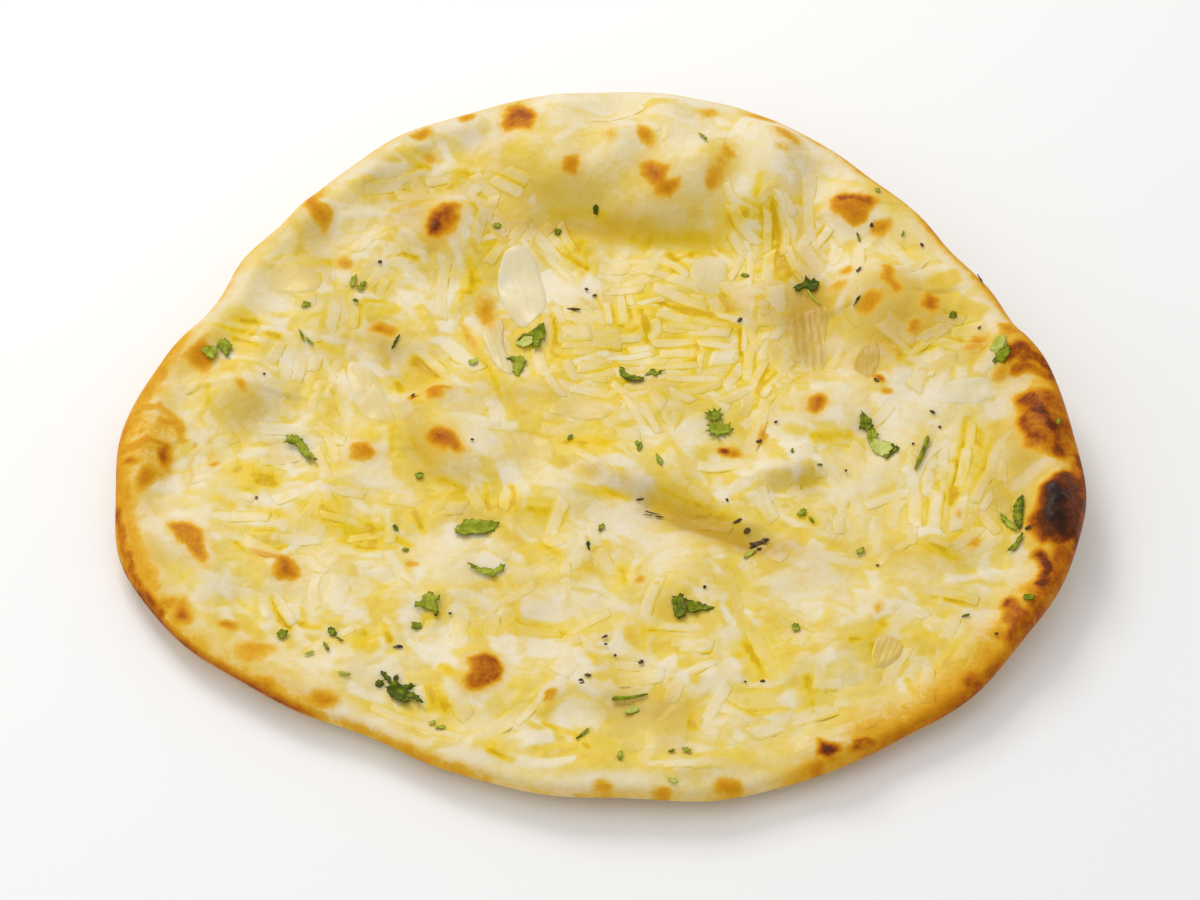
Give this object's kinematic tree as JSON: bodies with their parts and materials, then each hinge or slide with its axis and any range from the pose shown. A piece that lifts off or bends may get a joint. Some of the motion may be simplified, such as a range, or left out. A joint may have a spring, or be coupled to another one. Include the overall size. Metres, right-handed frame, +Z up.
{
  "type": "onion naan",
  "caption": "Large round flatbread, puffed and charred at its rim, baked with onion slivers and butter on top and dressed with chopped coriander.",
  "frame": {"origin": "on the table, below the middle of the bread's outline seen from above", "axes": "+Z up out of the topped side, -Y towards the low front rim, +X to the right, across the widest span"},
  "size_m": [0.302, 0.2912, 0.0294],
  "materials": {
    "baked_dough": null,
    "onion": null,
    "coriander": null
  },
  "bodies": {
    "root": {"naan_bread": "baked_dough", "onion_petal_1": "onion", "onion_petal_2": "onion", "onion_petal_3": "onion", "onion_petal_4": "onion", "onion_petal_5": "onion", "onion_petal_6": "onion", "onion_petal_7": "onion", "onion_petal_8": "onion", "onion_petal_9": "onion", "onion_petal_10": "onion", "onion_petal_11": "onion", "onion_petal_12": "onion", "coriander_1": "coriander", "coriander_2": "coriander", "coriander_3": "coriander", "coriander_4": "coriander", "coriander_5": "coriander", "coriander_6": "coriander", "coriander_7": "coriander", "coriander_8": "coriander", "coriander_9": "coriander", "coriander_10": "coriander", "coriander_11": "coriander", "coriander_12": "coriander", "coriander_13": "coriander", "coriander_14": "coriander", "coriander_15": "coriander", "coriander_16": "coriander", "coriander_17": "coriander", "coriander_18": "coriander"}
  },
  "joints": []
}
